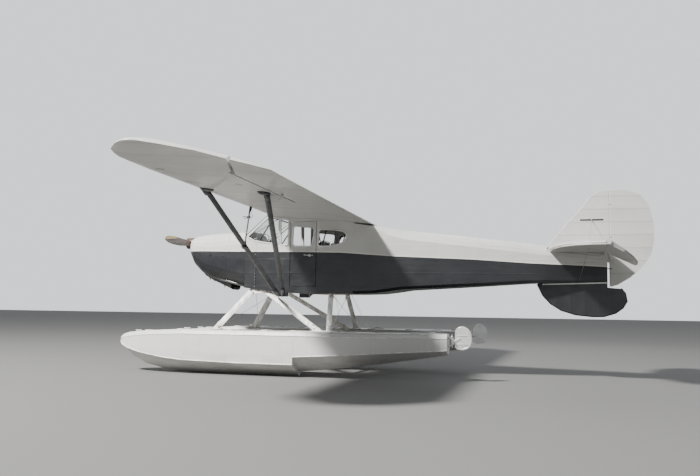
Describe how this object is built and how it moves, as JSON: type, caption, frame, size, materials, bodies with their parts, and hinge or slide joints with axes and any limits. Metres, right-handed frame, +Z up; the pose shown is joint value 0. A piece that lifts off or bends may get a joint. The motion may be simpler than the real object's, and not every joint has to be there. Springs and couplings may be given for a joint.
{
  "type": "single-engine high-wing cabin floatplane",
  "caption": "High-wing strut-braced cabin monoplane with an inverted in-line engine nose, a ventral fin and single-step floats, standing on its float keels",
  "frame": {"origin": "centre of the footprint, at the height of the float keels", "axes": "+X aft, +Y to starboard, +Z up"},
  "size_m": [7.94, 10.89, 2.77],
  "materials": {
    "upper_fabric": "satin",
    "wing_fabric": "satin",
    "cowl_light": "satin",
    "cowl_dark": "satin",
    "dark_fabric": "satin",
    "strut_dark": "satin",
    "float_white": "satin",
    "clear_glass": "gloss",
    "propeller_wood": "gloss",
    "bare_steel": "satin",
    "blade_metal": "satin",
    "engine_iron": "matte",
    "seat_leather": "satin",
    "floor_wood": "matte",
    "panel_paint": "satin"
  },
  "bodies": {
    "airframe": {"cabin_wall_left": "upper_fabric", "cabin_wall_right": "upper_fabric", "fuselage_rear": "upper_fabric", "fin": "upper_fabric", "tailplane": "upper_fabric", "wing_left": "wing_fabric", "wing_right": "wing_fabric", "roof_centre_section": "wing_fabric", "cowl_upper": "cowl_light", "cowl_lower": "cowl_dark", "ventral_fin": "dark_fabric", "lift_strut_front_left": "strut_dark", "lift_strut_front_right": "strut_dark", "lift_strut_rear_left": "strut_dark", "lift_strut_rear_right": "strut_dark", "jury_strut_left": "strut_dark", "jury_strut_right": "strut_dark", "float_left": "float_white", "float_right": "float_white", "float_strut_front_left": "float_white", "float_strut_front_right": "float_white", "float_strut_diagonal_left": "float_white", "float_strut_diagonal_right": "float_white", "float_strut_rear_left": "float_white", "float_strut_rear_right": "float_white", "spreader_front": "float_white", "spreader_rear": "float_white", "windshield": "clear_glass", "windshield_side_left": "clear_glass", "windshield_side_right": "clear_glass", "quarter_window_left": "clear_glass", "quarter_window_right": "clear_glass", "rear_window_left": "clear_glass", "rear_window_right": "clear_glass", "firewall": "bare_steel", "water_rudder_post_left": "bare_steel", "water_rudder_post_right": "bare_steel", "engine_block": "engine_iron", "exhaust_stub": "engine_iron", "front_seat_left": "seat_leather", "front_seat_right": "seat_leather", "rear_bench": "seat_leather", "cabin_floor": "floor_wood", "instrument_panel": "panel_paint", "control_sticks": "panel_paint"},
    "propeller": {"propeller": "propeller_wood", "propeller_hub_plate": "bare_steel", "propeller_shaft": "bare_steel"},
    "door_left": {"door_left": "upper_fabric", "door_window_left": "clear_glass"},
    "door_right": {"door_right": "upper_fabric", "door_window_right": "clear_glass"},
    "aileron_left": {"aileron_left": "wing_fabric"},
    "aileron_right": {"aileron_right": "wing_fabric"},
    "elevator": {"elevator": "upper_fabric"},
    "rudder": {"rudder": "upper_fabric"},
    "water_rudder_left": {"water_rudder_left": "blade_metal"},
    "water_rudder_right": {"water_rudder_right": "blade_metal"}
  },
  "joints": [
    {"name": "propeller_spin", "type": "hinge", "parent": "airframe", "child": "propeller", "pos_m": [-3.38, 0, 2.052], "axis": [1, 0, 0], "continuous": true},
    {"name": "door_left_hinge", "type": "hinge", "parent": "airframe", "child": "door_left", "pos_m": [-1.398, -0.57, 1.83], "axis": [0, 0, -1], "range_deg": [0, 70]},
    {"name": "door_right_hinge", "type": "hinge", "parent": "airframe", "child": "door_right", "pos_m": [-1.398, 0.57, 1.83], "axis": [0, 0, 1], "range_deg": [0, 70]},
    {"name": "aileron_right_hinge", "type": "hinge", "parent": "airframe", "child": "aileron_right", "pos_m": [-0.65, 2.35, 2.44249], "axis": [0, 0.9998, 0.022], "range_deg": [-20, 20]},
    {"name": "aileron_left_hinge", "type": "hinge", "parent": "airframe", "child": "aileron_left", "pos_m": [-0.65, -2.35, 2.44249], "axis": [0, 0.9998, -0.022], "range_deg": [-20, 20]},
    {"name": "elevator_hinge", "type": "hinge", "parent": "airframe", "child": "elevator", "pos_m": [3.282, 0, 1.89], "axis": [0, -1, 0], "range_deg": [0, 55]},
    {"name": "rudder_hinge", "type": "hinge", "parent": "airframe", "child": "rudder", "pos_m": [3.372, 0, 2], "axis": [0, 0, 1], "range_deg": [-25, 25]},
    {"name": "water_rudder_right_post", "type": "hinge", "parent": "airframe", "child": "water_rudder_right", "pos_m": [1.205, 1.06, 0.555], "axis": [0, 0, 1], "range_deg": [-25, 25]},
    {"name": "water_rudder_left_post", "type": "hinge", "parent": "airframe", "child": "water_rudder_left", "pos_m": [1.205, -1.06, 0.555], "axis": [0, 0, 1], "range_deg": [-25, 25]}
  ],
  "couplings": [
    {"joint": "aileron_left_hinge", "follows": "aileron_right_hinge", "ratio": -1},
    {"joint": "water_rudder_right_post", "follows": "rudder_hinge", "ratio": 1},
    {"joint": "water_rudder_left_post", "follows": "rudder_hinge", "ratio": 1}
  ]
}
